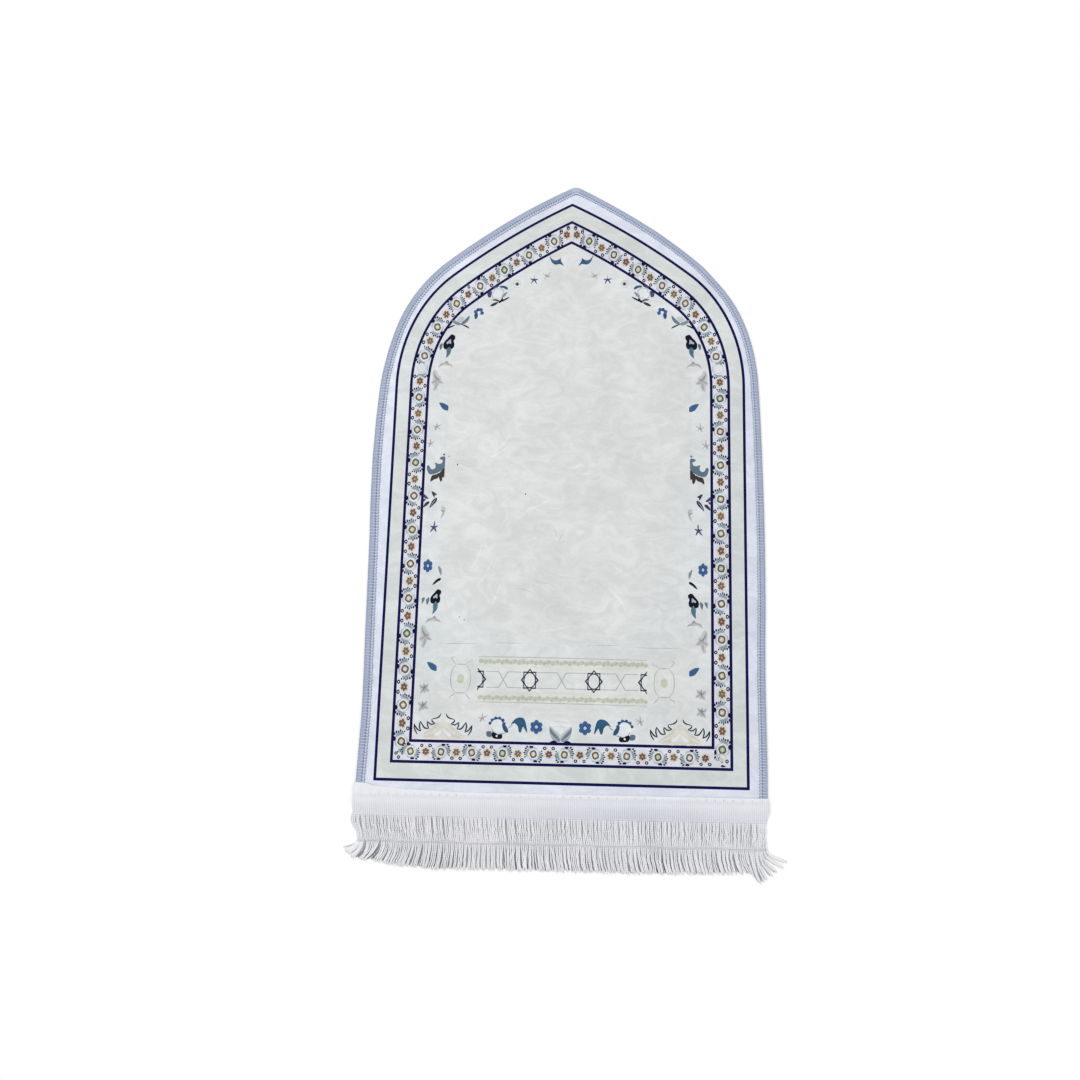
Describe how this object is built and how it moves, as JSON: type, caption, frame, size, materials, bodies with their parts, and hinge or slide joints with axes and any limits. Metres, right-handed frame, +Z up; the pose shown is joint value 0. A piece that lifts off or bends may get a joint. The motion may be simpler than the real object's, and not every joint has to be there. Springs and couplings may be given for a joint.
{
  "type": "prayer rug",
  "caption": "Flat arch-topped prayer rug of thin printed velvet, with an overlocked thread edge and a long thread fringe along its lower end.",
  "frame": {"origin": "bottom centre of the whole rug's box, on the surface that the rug lies on", "axes": "+Y along the rug, from the fringe towards the point of the arch; +X across it; +Z up, out of the pile"},
  "size_m": [0.6974, 1.1684, 0.0049],
  "materials": {
    "printed_velvet": "short crushed velvet pile with a printed border, soft sheen",
    "overlock_thread": "lavender grey overlocked thread, ribbed across the edge",
    "fringe_yarn": "white soft spun yarn",
    "stitch_thread": "white chain-stitched thread"
  },
  "bodies": {
    "root": {"rug_cloth": "printed_velvet", "edge_binding": "overlock_thread", "fringe": "fringe_yarn", "retaining_stitch": "stitch_thread"}
  },
  "joints": []
}
